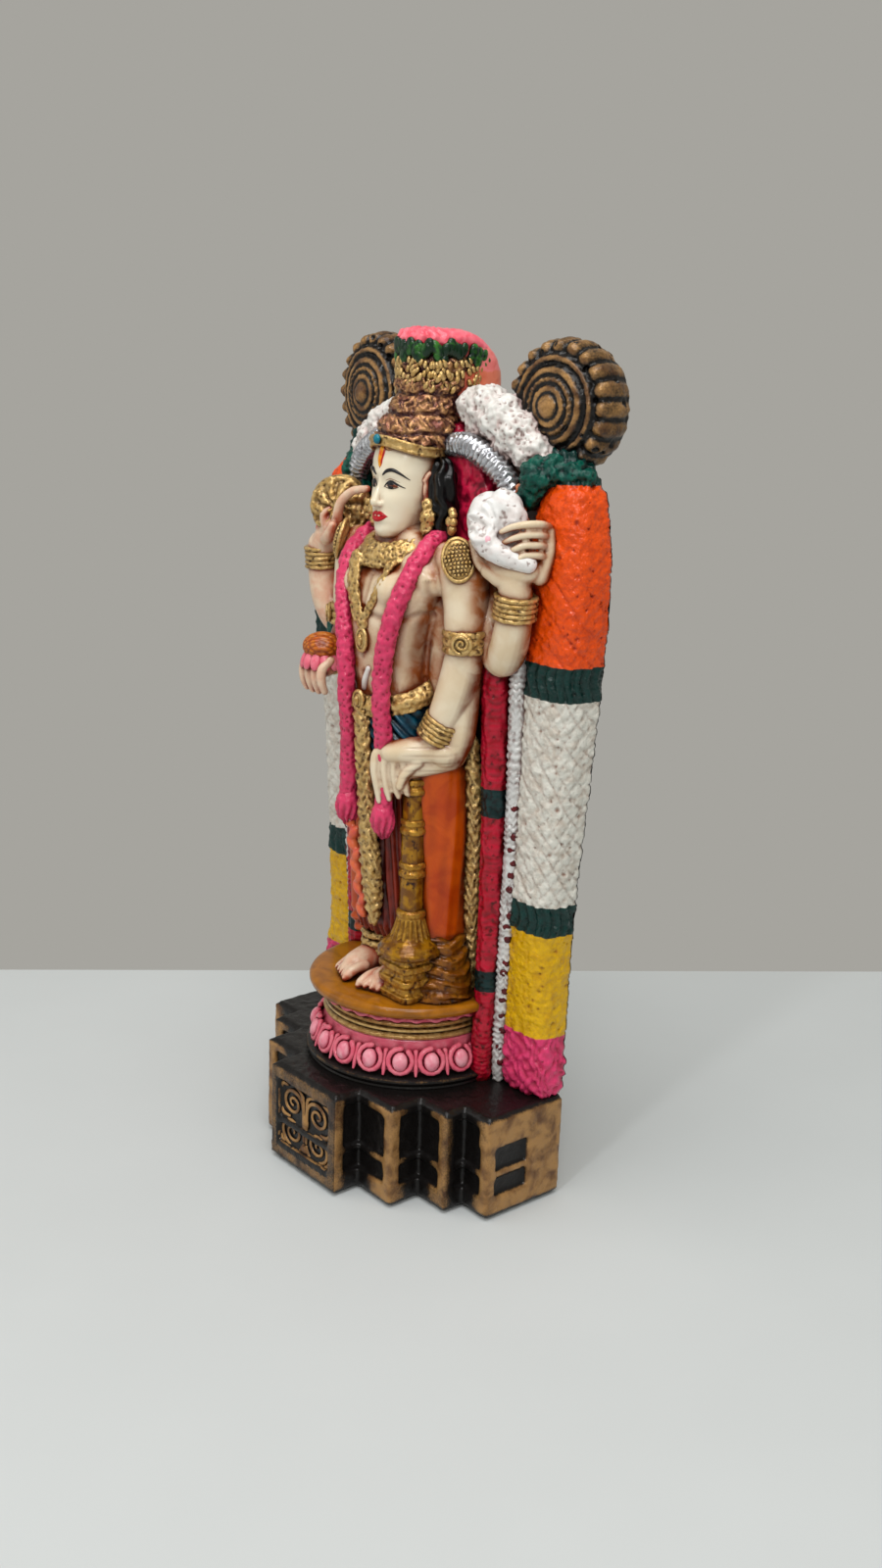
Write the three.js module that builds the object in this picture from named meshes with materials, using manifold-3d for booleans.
// A painted resin figure of Vishnu with four arms, cast in one piece with its garlanded
// backing, its lotus pedestal and its stepped temple plinth. Millimetres, +Z up, the figure
// faces -Y and its left hand is towards +X. The origin is at the middle of the footprint.
import * as THREE from "three";
import { mergeVertices } from "three/addons/utils/BufferGeometryUtils.js";
import Module from "manifold-3d";

const wasm = await Module();
wasm.setup();

// Driving dimensions
const HEIGHT = 230; // overall, from the plinth's underside to the crown's top
const PLINTH_HEIGHT = 29.7;
const PLINTH_WIDTH = 99.6;
const PLINTH_STEP_WIDTHS = [14, 11, 9.8]; // how far each step goes out, from the front panel on
const PLINTH_STEP_DEPTHS = [8.2, 10, 6.4]; // how far each step falls back from the last
const PLINTH_SIDE_DEPTH = 27; // from the last step to the flat back
const BACK_OVERHANG = 7.4; // how far the rosettes' rims stand out behind the flat back
const BASE_BAND_HEIGHT = 7;
const RIDGE_BOTTOM = 12;
const RIDGE_HEIGHT = 2;
const RIDGE_INSET = 0.6;
const CORNICE_HEIGHT = 3.2;
const RECESS_DEPTH = 1.6;
const PILASTER_WIDTH = 4.2;
const SIDE_PLAIN_DEPTH = 13; // the rear stretch of each side, left without a recess
const PANEL_FRAME = 4.2; // the frame round the front panel's scrolls
const PANEL_RECESS = 1.3;

const PEDESTAL_RADIUS = 30;
const PEDESTAL_TO_BACK = 13.6; // from the pedestal's axis to the flat back
const PEDESTAL_HEIGHT = 23.6;
const PETALS_ROUND = 20; // petals in the lower ring, counted on the full circle
const ROOT = 0.6; // how far a form is sunk into the one that carries it

const SLAB_THICKNESS = 8.3;
const ROSETTE_RADIUS = 16.9;
const ROSETTE_THICKNESS = 13.6;
const ROSETTE_SPLAY = 5; // degrees that each rosette is turned outwards
const ROSETTE_LOBES = 16;
const ROSETTE_X = 37.4;
const ROSETTE_Z = 212.2;

// The carving's own grid. Its unit is a millimetre in a figure of these sizes. The figure grows
// with its height in every direction, from the soles up and from the flat back forwards.
const GRID_PLINTH = 29.7;
const GRID_FOOT = 53.3;
const GRID_TOP = 230;
const GRID_BACK = 23.8; // the grid's place of the flat back
const GRID_WIDTH = 99.6;
const FOOT_Z = PLINTH_HEIGHT + PEDESTAL_HEIGHT;
const GRID = (HEIGHT - FOOT_Z) / (GRID_TOP - GRID_FOOT);
const SPREAD = PLINTH_WIDTH / GRID_WIDTH; // the backing widens with the plinth

// The whole box is centred on the origin from front to back.
const sumOf = (values) => values.reduce((sum, value) => sum + value, 0);
const PLINTH_DEPTH = PLINTH_SIDE_DEPTH + sumOf(PLINTH_STEP_DEPTHS);
const BACK_Y = (PLINTH_DEPTH - BACK_OVERHANG) / 2; // the flat back of the plinth and of the backing
const PEDESTAL_CENTRE_Y = BACK_Y - PEDESTAL_TO_BACK;

const TURN_Y_TO_Z = new THREE.Matrix4().makeRotationX(Math.PI / 2);

// A point of the carving's grid in the part's own frame.
function at(x, y, z) {
  const pedestalShare = (z - GRID_PLINTH) / (GRID_FOOT - GRID_PLINTH);
  const onPedestal = PLINTH_HEIGHT + pedestalShare * PEDESTAL_HEIGHT;
  const aboveSoles = FOOT_Z + (z - GRID_FOOT) * GRID;
  const height = z < GRID_FOOT ? onPedestal : aboveSoles;
  return new THREE.Vector3(x * GRID, BACK_Y + (y - GRID_BACK) * GRID, height);
}

// A point of the backing, whose places across follow the plinth's width.
function behind(x, y, z) {
  const point = at(0, y, z);
  point.x = x * SPREAD;
  return point;
}

// A closed three.js geometry as a solid.
function solid(geometry) {
  const bare = geometry.index ? geometry.toNonIndexed() : geometry.clone();
  bare.deleteAttribute("normal");
  bare.deleteAttribute("uv");
  const merged = mergeVertices(bare, 1e-4);
  const made = new wasm.Manifold(
    new wasm.Mesh({
      numProp: 3,
      vertProperties: new Float32Array(merged.attributes.position.array),
      triVerts: new Uint32Array(merged.index.array),
    }),
  );
  return made.volume() < 0 ? solid(turnedRound(merged)) : made;
}

// The same geometry with each face wound the other way.
function turnedRound(geometry) {
  const flipped = geometry.clone();
  flipped.index.array.reverse();
  return flipped;
}

function union(parts) {
  return wasm.Manifold.union(parts);
}

// A solid and its twin on the other side of the figure.
function bothSides(part) {
  return union([part, part.mirror([1, 0, 0])]);
}

// A profile or other list of pairs of grid units, in millimetres.
function onGrid(pairs) {
  return pairs.map((pair) => pair.map((value) => value * GRID));
}

// An ellipsoid with its radii in grid units, turned by angles in degrees about X, Y and Z.
function ball(centre, radii, { turn = [0, 0, 0], round = 7, rings = 4 } = {}) {
  const angles = turn.map(THREE.MathUtils.degToRad);
  const place = new THREE.Matrix4().compose(
    centre,
    new THREE.Quaternion().setFromEuler(new THREE.Euler(...angles)),
    new THREE.Vector3(...radii).multiplyScalar(GRID),
  );
  return solid(new THREE.SphereGeometry(1, round, rings).applyMatrix4(place));
}

// A round form swept through stations, each a point and the radius there in grid units.
function sweep(stations, sides = 6) {
  const points = stations.map(([point]) => point);
  const last = points.length - 1;
  const start = new THREE.Vector3().subVectors(points[1], points[0]).normalize();
  let across = new THREE.Vector3(0, Math.abs(start.y) > 0.9 ? 0 : 1, Math.abs(start.y) > 0.9 ? 1 : 0);
  const rings = stations.map(([point, radius], i) => {
    const along = new THREE.Vector3().subVectors(points[Math.min(last, i + 1)], points[Math.max(0, i - 1)]);
    along.normalize();
    across = across.clone().addScaledVector(along, -along.dot(across)).normalize();
    const beside = new THREE.Vector3().crossVectors(along, across);
    return Array.from({ length: sides }, (_, k) => {
      const angle = (2 * Math.PI * k) / sides;
      const out = across.clone().multiplyScalar(radius * GRID * Math.cos(angle));
      return out.addScaledVector(beside, radius * GRID * Math.sin(angle)).add(point);
    });
  });
  return loft(rings);
}

// A rope of an elliptical section, in grid units, that follows a smooth curve.
function rope(points, halfWidth, halfDepth, { steps = 4, sides = 6 } = {}) {
  const section = new THREE.Shape();
  for (let i = 0; i < sides; i += 1) {
    const angle = (2 * Math.PI * i) / sides;
    const [across, deep] = [halfWidth * GRID * Math.cos(angle), halfDepth * GRID * Math.sin(angle)];
    section[i ? "lineTo" : "moveTo"](across, deep);
  }
  section.closePath();
  const extrudePath = new THREE.CatmullRomCurve3(points);
  return solid(new THREE.ExtrudeGeometry(section, { steps, extrudePath, bevelEnabled: false }));
}

// A turned form: the profile is [radius, height] pairs, about a vertical axis.
function turned(profile, centre, round) {
  const outline = profile.map(([radius, height]) => new THREE.Vector2(radius, height));
  const form = new THREE.LatheGeometry(outline, round).applyMatrix4(TURN_Y_TO_Z);
  form.translate(centre.x, centre.y, centre.z);
  return solid(form);
}

// A prism that stands on an outline of [x, y] pairs.
function prism(outline, bottom, top) {
  const shape = new THREE.Shape(outline.map(([x, y]) => new THREE.Vector2(x, y)));
  const form = new THREE.ExtrudeGeometry(shape, { depth: top - bottom, bevelEnabled: false });
  form.translate(0, 0, bottom);
  return solid(form);
}

function block([x0, x1], [y0, y1], [z0, z1]) {
  const outline = [[x0, y0], [x1, y0], [x1, y1], [x0, y1]];
  return prism(outline, z0, z1);
}

// A form lofted through closed rings that all have the same number of points.
function loft(rings) {
  const count = rings[0].length;
  const places = rings.flat().flatMap((point) => point.toArray());
  const last = (rings.length - 1) * count;
  const faces = [];
  for (let i = 1; i < count - 1; i += 1) {
    faces.push(0, i + 1, i);
    faces.push(last, last + i, last + i + 1);
  }
  for (let k = 0; k < rings.length - 1; k += 1) {
    for (let i = 0; i < count; i += 1) {
      const next = (i + 1) % count;
      const [a, b] = [k * count + i, k * count + next];
      faces.push(a, b, b + count, a, b + count, a + count);
    }
  }
  const form = new THREE.BufferGeometry();
  form.setAttribute("position", new THREE.Float32BufferAttribute(places, 3));
  form.setIndex(faces);
  return solid(form);
}

// A horizontal ellipse of points, sized in grid units and squared off when power is over 2.
function ring(centre, halfWidth, halfDepth, { count = 12, power = 2 } = {}) {
  return Array.from({ length: count }, (_, i) => {
    const angle = (2 * Math.PI * i) / count;
    const bulge = (value) => Math.sign(value) * Math.abs(value) ** (2 / power);
    return new THREE.Vector3(
      centre.x + halfWidth * GRID * bulge(Math.cos(angle)),
      centre.y + halfDepth * GRID * bulge(Math.sin(angle)),
      centre.z,
    );
  });
}

// The plinth

// The half widths of the steps, from the front panel out to the sides.
function stepHalves() {
  const halves = [PLINTH_WIDTH / 2 - sumOf(PLINTH_STEP_WIDTHS)];
  PLINTH_STEP_WIDTHS.forEach((width) => halves.push(halves[halves.length - 1] + width));
  return halves;
}

// The front edges of the steps, from the front panel back to the last step.
function stepFronts() {
  const fronts = [BACK_Y - PLINTH_SIDE_DEPTH];
  [...PLINTH_STEP_DEPTHS].reverse().forEach((depth) => fronts.unshift(fronts[0] - depth));
  return fronts;
}

// The plan of the plinth, drawn in from its outline by an inset.
function plinthPlan(inset = 0) {
  const fronts = stepFronts();
  const halves = stepHalves();
  const right = [];
  halves.forEach((half, i) => {
    if (i) right.push([halves[i - 1] - inset, fronts[i] + inset]);
    right.push([half - inset, fronts[i] + inset]);
  });
  right.push([PLINTH_WIDTH / 2 - inset, BACK_Y]);
  const left = right.map(([x, y]) => [-x, y]).reverse();
  return [...right, ...left];
}

function plinth() {
  const fronts = stepFronts();
  const corniceBottom = PLINTH_HEIGHT - CORNICE_HEIGHT;
  const side = PLINTH_WIDTH / 2;
  const parts = [
    prism(plinthPlan(RECESS_DEPTH), 0, PLINTH_HEIGHT),
    prism(plinthPlan(), 0, BASE_BAND_HEIGHT),
    prism(plinthPlan(RIDGE_INSET), RIDGE_BOTTOM, RIDGE_BOTTOM + RIDGE_HEIGHT),
    prism(plinthPlan(), corniceBottom, PLINTH_HEIGHT),
    block([-side, side], [BACK_Y - SIDE_PLAIN_DEPTH, BACK_Y], [0, PLINTH_HEIGHT]),
  ];
  stepHalves().forEach((half, i) => {
    const depth = [fronts[i], fronts[i] + PILASTER_WIDTH];
    parts.push(bothSides(block([half - PILASTER_WIDTH, half], depth, [0, PLINTH_HEIGHT])));
  });
  return union([...parts, frontPanel(fronts[0])]);
}

// The front panel: a frame round a sunk field with raised scrolls.
function frontPanel(front) {
  const half = stepHalves()[0];
  const slabOfPanel = block([-half, half], [front, front + PILASTER_WIDTH], [0, PLINTH_HEIGHT]);
  const fieldHalf = half - PANEL_FRAME;
  const bottom = BASE_BAND_HEIGHT - 1;
  const top = PLINTH_HEIGHT - CORNICE_HEIGHT - 1;
  const field = block([-fieldHalf, fieldHalf], [front - 1, front + PANEL_RECESS], [bottom, top]);
  const middle = (bottom + top) / 2;
  const reach = (top - bottom) / 2;
  const onField = (u, v) => new THREE.Vector3(u * fieldHalf, front + PANEL_RECESS, middle + v * reach);
  const curl = [[0.12, -0.85], [0.62, -0.62], [0.66, 0.1], [0.3, 0.5], [0.1, 0.2], [0.32, -0.12]];
  const scroll = rope(curl.map(([u, v]) => onField(u, v)), 1.1, 1.1, { steps: 6, sides: 4 });
  const boss = ball(onField(0, -0.15), [2.4, 1.2, 3]);
  return union([slabOfPanel.subtract(field), bothSides(scroll), boss]);
}

// The lotus pedestal

function pedestal() {
  const centre = new THREE.Vector3(0, PEDESTAL_CENTRE_Y, PLINTH_HEIGHT);
  const profile = [
    [0, -ROOT], [1, -ROOT], [1, 0.11], [0.9, 0.14], [0.84, 0.5], [0.8, 0.56], [0.83, 0.61],
    [0.81, 0.7], [0.95, 0.86], [0.98, 0.93], [0.94, 1], [0, 1],
  ].map(([r, h]) => [r * PEDESTAL_RADIUS, h < 0 ? h : h * PEDESTAL_HEIGHT]);
  const whole = union([turned(profile, centre, 28), petalRing()]);
  const keep = block(
    [-2 * PEDESTAL_RADIUS, 2 * PEDESTAL_RADIUS],
    [PEDESTAL_CENTRE_Y - 2 * PEDESTAL_RADIUS, BACK_Y],
    [0, HEIGHT],
  );
  return whole.intersect(keep);
}

// The lower ring of petals, as one form with a groove between each petal and the next.
function petalRing() {
  const levels = [[0.1, 0.93, 0.03], [0.28, 0.98, 0.06], [0.5, 0.87, 0.05]];
  const pointsPerPetal = 3;
  const count = PETALS_ROUND * pointsPerPetal;
  const rings = levels.map(([height, reach, groove]) =>
    Array.from({ length: count }, (_, i) => {
      const angle = (2 * Math.PI * i) / count - Math.PI / 2;
      const radius = PEDESTAL_RADIUS * (reach - (i % pointsPerPetal ? 0 : groove));
      return new THREE.Vector3(
        radius * Math.cos(angle),
        PEDESTAL_CENTRE_Y + radius * Math.sin(angle),
        PLINTH_HEIGHT + height * PEDESTAL_HEIGHT,
      );
    }),
  );
  return loft(rings);
}

// The backing: columns of flowers, rosettes, hanging strands and the slab that joins them

const COLUMN_SECTIONS = [
  // [height, inner x, outer x, front y]
  [29.3, 37, 48.6, 15.6], [34, 36.2, 49.8, 14.4], [46, 37, 49.6, 14], [84, 38, 50.2, 13],
  [121, 39.6, 52.8, 12], [139, 40.2, 54, 11.6], [166, 41, 55.6, 11.2], [186, 40, 52.4, 12.6],
  [203, 36, 47, 16],
];

function column() {
  const sides = 8;
  const rings = COLUMN_SECTIONS.map(([z, inner, outer, front]) => {
    const half = (outer - inner) / 2;
    const middle = (outer + inner) / 2;
    return Array.from({ length: sides }, (_, i) => {
      const angle = (Math.PI * i) / (sides - 1);
      const reach = Math.max(0, Math.sin(angle)) ** 0.6;
      return behind(middle - half * Math.cos(angle), GRID_BACK - (GRID_BACK - front) * reach, z);
    });
  });
  return bothSides(loft(rings));
}

// A rosette: rings round a boss, with a rim of lobes, on an axis along Y.
function rosette() {
  const levels = [
    // [share of the radius, share of the thickness, depth of the notches between lobes]
    [0.2, 0, 0], [0.32, 0.12, 0], [0.7, 0.08, 0], [0.78, 0.24, 0],
    [0.94, 0.36, 0.08], [0.98, 0.68, 0.1], [0.84, 1, 0.03],
  ];
  const count = 2 * ROSETTE_LOBES;
  const rings = levels.map(([reach, back, notch]) =>
    Array.from({ length: count }, (_, i) => {
      const angle = (2 * Math.PI * i) / count;
      const radius = ROSETTE_RADIUS * (reach + (i % 2 ? 0.03 * Math.sign(notch) : -notch));
      return new THREE.Vector3(radius * Math.cos(angle), back * ROSETTE_THICKNESS, radius * Math.sin(angle));
    }),
  );
  const splayed = loft(rings).rotate([0, 0, ROSETTE_SPLAY]);
  const rear = splayed.boundingBox().max[1];
  const place = behind(ROSETTE_X, 0, ROSETTE_Z).setY(BACK_Y + BACK_OVERHANG - rear);
  return bothSides(splayed.translate(place.toArray()));
}

// The slab behind the figure, as an outline in the plane of the back.
function slab() {
  const sunk = GRID_PLINTH - ROOT;
  const outline = [
    [0, sunk], [40, sunk], [41, 84], [44, 139], [45, 170], [42, 190], [35, 198], [24, 206], [9, 212],
    [0, 212],
  ];
  const right = outline.map(([x, z]) => behind(x, 0, z));
  const left = right.slice(1, -1).map((p) => p.clone().setX(-p.x)).reverse();
  const shape = new THREE.Shape([...right, ...left].map((p) => new THREE.Vector2(p.x, p.z)));
  const form = new THREE.ExtrudeGeometry(shape, { depth: SLAB_THICKNESS, bevelEnabled: false });
  return solid(form.applyMatrix4(TURN_Y_TO_Z)).translate([0, BACK_Y, 0]);
}

// The post behind the crown, with a domed top. It stands out behind the flat back.
function crownPost() {
  const front = 11;
  const rear = 29.4;
  const levels = [
    // [height, half width, rear]
    [190, 10, GRID_BACK], [206, 10.2, rear], [222, 10.2, rear], [227.6, 9.2, rear - 1.4],
    [230, 6.4, rear - 4.6],
  ];
  return loft(
    levels.map(([z, half, behindAt]) =>
      ring(at(0, (front + behindAt) / 2, z), half, (behindAt - front) / 2, { power: 4 }),
    ),
  );
}

// What hangs beside the figure and arches over its head.
function strands() {
  const thin = { sides: 5 };
  const sunk = GRID_PLINTH - ROOT;
  const redLine = [behind(30.5, 10.5, 148), behind(29.5, 12.8, 104), behind(25.6, 15.2, sunk)];
  const silverLine = [behind(36.6, 12, 150), behind(35.4, 14, 102), behind(32.3, 15.6, sunk)];
  const red = rope(redLine, 3.2, 3.2, thin);
  const silver = rope(silverLine, 2.2, 2.2, thin);
  const gold = rope([behind(22, 8, 128), behind(21.5, 12, 95), behind(20.5, 14, 52)], 2.4, 2.6, thin);
  const arc = rope([at(7, 10, 203), at(18, 10, 202), at(27, 10.5, 196), at(31, 12, 188)], 2.5, 2.5, thin);
  const haloProfile = [[0, 0], [24, 0], [25, 2], [24, 5.5], [0, 5.5]];
  const halo = turned(onGrid(haloProfile), new THREE.Vector3(), 12).rotate([90, 0, 0]);
  const blooms = [
    // [x, y, height, radius]
    [14, 14.5, 209, 6.8], [24, 14.5, 206.6, 7.8], [33, 16, 200, 6.6], [41.6, 17.4, 195, 6],
  ].map(([x, y, z, r]) => ball(behind(x, y, z), [r, r * 0.8, r]));
  const pair = bothSides(union([red, silver, gold, arc, ...blooms]));
  return union([pair, halo.translate(at(0, 16.5, 184).toArray())]);
}

// The figure

// The wrapped cloth from the belt to the ankles: a lobe over each leg and pleats between them.
const CLOTH_LEVELS = [
  // [height, half width, front of the legs, front of the pleats, back]
  [55.4, 21, -1.6, -5.2, 16], [60, 20.6, -1.4, -5, 16], [75, 19.6, -2, -5.4, 16],
  [95, 18.8, -3, -6, 15], [112, 18.2, -5, -7.4, 14], [124, 17.2, -6.6, -7.8, 12],
  [133, 14.6, -7, -7.4, 9], [138, 12.6, -6.6, -6.8, 8],
];
const LEG_X = 0.62; // the middle of each leg, as a share of the cloth's half width
const PLEATS_X = 0.24; // how far the pleats reach, as a share of the cloth's half width

function wrappedCloth() {
  const count = 15;
  return loft(
    CLOTH_LEVELS.map(([z, half, legFront, pleatFront, back]) => {
      const front = Array.from({ length: count }, (_, i) => {
        const across = (2 * i) / (count - 1) - 1;
        const fromLeg = (Math.abs(across) - LEG_X) / (1 - LEG_X);
        const lobe = Math.sqrt(Math.max(0, 1 - fromLeg ** 2));
        const pleated = Math.abs(across) < PLEATS_X;
        const ridge = i % 2 ? 0.9 : 0;
        const side = 7;
        return at(half * across, pleated ? pleatFront + ridge : side + (legFront - side) * lobe, z);
      });
      const rear = [0.6, 0, -0.6].map((across) => at(half * across, back, z));
      return [...front, ...rear];
    }),
  );
}

function legs() {
  const braid = rope([at(-13, -6, 112), at(-13.8, -3.6, 92), at(-12.6, -3, 66)], 2.8, 2.4);
  const sash = rope([at(0, -8.6, 128), at(0, -8, 100), at(0, -6.6, 64)], 2.6, 2);
  return union([wrappedCloth(), braid, sash]);
}

// A bare foot with its toes towards -Y and its big toe on the given side.
function foot(x, bigToeSide) {
  const sole = sweep([
    [at(x, 8, 56.6), 3], [at(x, 5, 57.4), 4.4], [at(x, 0, 56.6), 4.4], [at(x, -4, 55.4), 3.8],
    [at(x, -6, 55), 2.6],
  ]);
  const toes = [-1.5, -0.5, 0.5, 1.5].map((k) => {
    const reach = -7.6 + 0.5 * Math.abs(k - bigToeSide * 1.5);
    return sweep([[at(x + k * 2.2, -3, 55), 1.5], [at(x + k * 2.3, reach, 54.4), 1.1]], 4);
  });
  return union([sole, ...toes]);
}

function torso() {
  const bodyLevels = [
    // [height, half width, half depth, y]
    [134, 12.6, 8.2, -0.4], [141, 11.4, 8, -1.4], [150, 12.6, 8.6, -2], [160, 16.4, 9.4, -1.8],
    [168, 20.6, 8.8, 0], [174, 17.6, 6.6, 2.4], [178.6, 8.6, 5.6, 3],
  ];
  const beltLevels = [
    [131, 14.6, 9.4, -0.3], [132.2, 15.4, 10.2, -0.3], [136.8, 14.4, 9.8, -0.3], [138, 12.8, 8.8, -0.3],
  ];
  const [body, belt] = [bodyLevels, beltLevels].map((levels) =>
    loft(levels.map(([z, half, depth, y]) => ring(at(0, y, z), half, depth))),
  );
  const chest = ball(at(8, -5, 161), [8.4, 6, 6.6], { turn: [10, 0, 0] });
  const neck = sweep([[at(0, 2.6, 172), 6.4], [at(0, 1.6, 182), 5.4]]);
  const flat = { sides: 4 };
  const collar = rope([at(-11, 1, 177), at(0, -9.6, 168.6), at(11, 1, 177)], 2.6, 1.6, flat);
  const pendant = rope([at(-6, -8.8, 167), at(0, -11, 151.6), at(6, -8.8, 167)], 1.5, 1.2, flat);
  const medallion = ball(at(0, -10.8, 149.5), [2.8, 1.6, 3.6]);
  const buckle = ball(at(0, -10.2, 135.4), [3, 1.8, 4.4]);
  return union([body, bothSides(chest), belt, neck, collar, pendant, medallion, buckle]);
}

// The garland that hangs down each side of the chest and ends in a tassel.
function garlands() {
  const line = [
    at(12.4, 5, 178.6), at(14.4, -4.2, 172), at(13, -9.4, 162), at(10.6, -10.8, 148), at(8.8, -10.6, 134),
    at(8, -8.6, 106),
  ];
  const stations = new THREE.CatmullRomCurve3(line).getPoints(8).map((point) => [point, 2.6]);
  const lowest = stations[stations.length - 1][0];
  const down = (drop) => lowest.clone().add(new THREE.Vector3(0, 0.3, -drop).multiplyScalar(GRID));
  return bothSides(sweep([...stations, [down(0.6), 3.6], [down(8), 3.2], [down(10), 1.6]]));
}

function head() {
  const skull = ball(at(0, 3, 191.4), [9.3, 10, 12.4], { round: 10, rings: 7 });
  const jaw = ball(at(0, -1.4, 184.4), [7.4, 6.8, 7.4], { round: 8, rings: 6 });
  const nose = sweep([[at(0, -6.6, 193), 0.9], [at(0, -8.2, 187.4), 1.5], [at(0, -7.6, 186), 1]]);
  const lips = ball(at(0, -7.4, 182.2), [2.5, 1.2, 1.2]);
  const ear = sweep([
    [at(9.2, 3, 193), 1.8], [at(9.9, 2.6, 187), 1.6], [at(10.6, 2, 184), 2.3], [at(10.6, 2, 180), 1.8],
  ]);
  const hair = sweep([
    [at(9.6, 7, 201), 3.4], [at(12.6, 9, 193), 4.6], [at(13.8, 9.4, 185), 4.6], [at(13.6, 8.6, 176), 3.6],
  ]);
  return union([skull, jaw, nose, lips, bothSides(union([ear, hair]))]);
}

function crown() {
  const tiers = [
    // [radius, height, how far the tier leans back from the brow]
    [12, 196.6, 0], [12.6, 199.4, 0.2], [11.6, 204, 2], [9.6, 209, 4.6], [9, 214.6, 5.8],
    [9.9, 217, 6.2], [9.7, 222.6, 6.8], [10, 226.6, 7], [9, 229, 7], [6, 230, 7],
  ];
  const rings = tiers.map(([radius, z, lean]) => ring(at(0, 3.4 + lean, z), radius, radius));
  const tiara = rope([at(-10.8, 2, 198.6), at(0, -10, 202.6), at(10.8, 2, 198.6)], 1.9, 1.3, { sides: 4 });
  return union([loft(rings), tiara]);
}

// A row of four fingers between the first and the last one's knuckles and tips.
function fingers(knuckles, tips) {
  return union(
    [0, 1, 2, 3].map((k) => {
      const base = new THREE.Vector3().lerpVectors(knuckles[0], knuckles[1], k / 3);
      const tip = new THREE.Vector3().lerpVectors(tips[0], tips[1], k / 3);
      return sweep([[base, 1.4], [tip, 1.1]], 4);
    }),
  );
}

// Four stations that stand out of an arm as a band.
function band(from, to, radius) {
  const edge = 0.12;
  const armRadius = radius * 0.82;
  const point = (share) => new THREE.Vector3().lerpVectors(from, to, share);
  return [[from, armRadius], [point(edge), radius], [point(1 - edge), radius], [to, armRadius]];
}

// Each front arm starts with the same shoulder, upper arm and armlet.
function frontUpperArm(side) {
  return [
    [at(side * 18, 4, 173), 4.6], [at(side * 23.6, 3.6, 171.6), 7], [at(side * 25.4, 3.4, 163), 6.2],
    ...band(at(side * 26, 3, 156), at(side * 26.2, 3, 150), 6.4),
  ];
}

// The left front arm hangs down and rests its hand on the mace.
function maceArm() {
  const arm = sweep([
    ...frontUpperArm(1),
    [at(26.8, 3.8, 144), 5.4], [at(25.6, 3.2, 138), 5.2],
    ...band(at(22.6, 1.2, 132.4), at(21, 0.8, 125.4), 5.2),
    [at(21.6, 1.6, 122), 4.6],
  ]);
  const back = sweep([
    [at(25, 6, 122.6), 3.4], [at(20, 1, 121.4), 4.6], [at(15, -4, 121.6), 4.4], [at(12, -7.4, 121), 3.2],
  ]);
  const knuckles = [at(10, -8.4, 121.4), at(14.5, -6.3, 121.4)];
  return union([arm, back, fingers(knuckles, [at(10.2, -8.6, 112), at(14.1, -6.8, 113.8)])]);
}

// The right front arm holds out an open hand with a lotus.
function lotusArm() {
  const arm = sweep([
    ...frontUpperArm(-1),
    [at(-26.8, 3, 143), 5], [at(-26.6, 0, 140), 4.8], [at(-26, -3.6, 141.6), 4],
  ]);
  const palm = ball(at(-26, -4.8, 140.4), [4.8, 3, 5]);
  const knuckles = [at(-29.4, -6.4, 139), at(-22.4, -6.4, 139)];
  const thumb = sweep([[at(-21.4, -5.4, 142), 1.6], [at(-21, -7.4, 137), 1.1]], 4);
  const bloomProfile = [[0, 0], [3, 0], [6.2, 3.6], [5.4, 6], [0, 6.6]];
  const bloom = turned(onGrid(bloomProfile), at(-26, -5.3, 141.4), 8);
  return union([arm, palm, fingers(knuckles, [at(-28.8, -6, 131.4), at(-22.8, -6, 131.4)]), thumb, bloom]);
}

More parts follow.
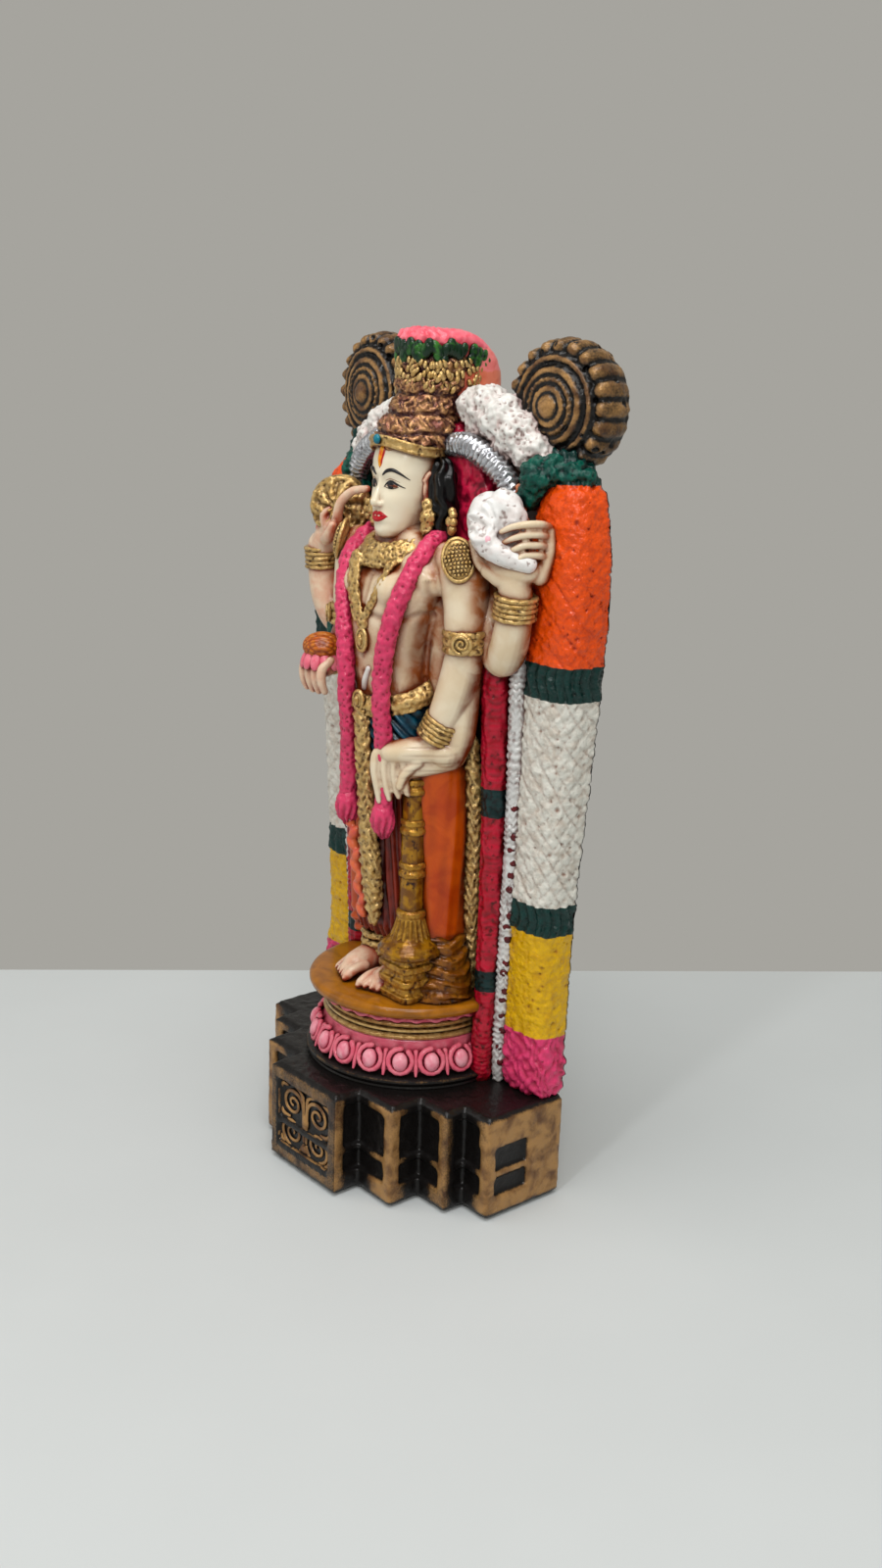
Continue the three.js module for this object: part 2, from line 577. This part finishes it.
// The rear arms rise on both sides; the left one lifts the conch, the right one the discus.
function rearArms() {
  const arm = sweep([
    [at(22, 9, 168), 5], [at(28, 9.4, 156), 5.6], [at(32.4, 9, 150), 5], [at(36.4, 7.6, 151), 5],
    [at(38.4, 6.4, 156), 4.6],
    ...band(at(39.6, 5.8, 160), at(41.4, 5.2, 167.4), 5.4),
  ]);
  const palm = ball(at(39, 3, 172.6), [5.2, 3.4, 5.6]);
  const fingerRow = fingers([at(43, 2, 176), at(42, 0, 170)], [at(38, -2.4, 180), at(37, -3.4, 172)]);
  const thumb = sweep([[at(34.6, 1, 172), 1.6], [at(32.4, -1, 178), 1.1]], 4);
  const pair = bothSides(union([arm, palm, fingerRow, thumb]));
  const shell = ball(at(33.6, 3, 183.6), [7, 5.4, 8.4], { turn: [0, 20, 0] });
  const shellTip = sweep([[at(34, -2, 181), 3.6], [at(36.4, -1.6, 176), 3], [at(41, -1.6, 173.4), 1.8]]);
  const wheelProfile = [[0, 0], [9, 0], [9, 2.6], [3.4, 3], [0, 4.6]];
  const wheel = turned(onGrid(wheelProfile), new THREE.Vector3(), 14);
  const discus = wheel.rotate([90, 0, 14]).translate(at(-31, 6, 182.2).toArray());
  return union([pair, shell, shellTip, discus]);
}

// The mace stands on its head, with its handle under the hand.
function mace() {
  const profile = [
    [0, 0], [6.4, 0], [7, 4], [6, 8], [6.6, 12], [8.4, 15.4], [8, 18], [5, 22.6], [3.4, 25.6], [2.9, 34],
    [4, 36], [2.9, 38], [2.9, 44], [4, 46], [2.9, 48], [2.9, 61], [0, 61.4],
  ];
  return turned(onGrid(profile), at(13.8, -1.6, 53), 10);
}

function figure() {
  return union([
    legs(), foot(6.4, -1), foot(-8, 1), torso(), garlands(), head(), crown(),
    maceArm(), lotusArm(), rearArms(), mace(),
  ]);
}

// The cast piece

function toMesh(name, form, material) {
  const { vertProperties, triVerts } = form.getMesh();
  const geometry = new THREE.BufferGeometry();
  geometry.setAttribute("position", new THREE.BufferAttribute(vertProperties, 3));
  geometry.setIndex(new THREE.BufferAttribute(triVerts, 1));
  geometry.computeVertexNormals();
  const mesh = new THREE.Mesh(geometry, material);
  mesh.name = name;
  return mesh;
}

// The outer skin of a casting: hollows closed in between its forms are filled.
function filled(casting) {
  return union(casting.decompose().filter((skin) => skin.volume() > 0));
}

const paintedResin = new THREE.MeshStandardMaterial({ color: 0xe6d3b0, roughness: 0.35, metalness: 0 });
const cast = union([plinth(), pedestal(), slab(), crownPost(), column(), rosette(), strands(), figure()]);

const part = new THREE.Group();
part.add(toMesh("vishnu_figure", filled(cast), paintedResin));

export default part;
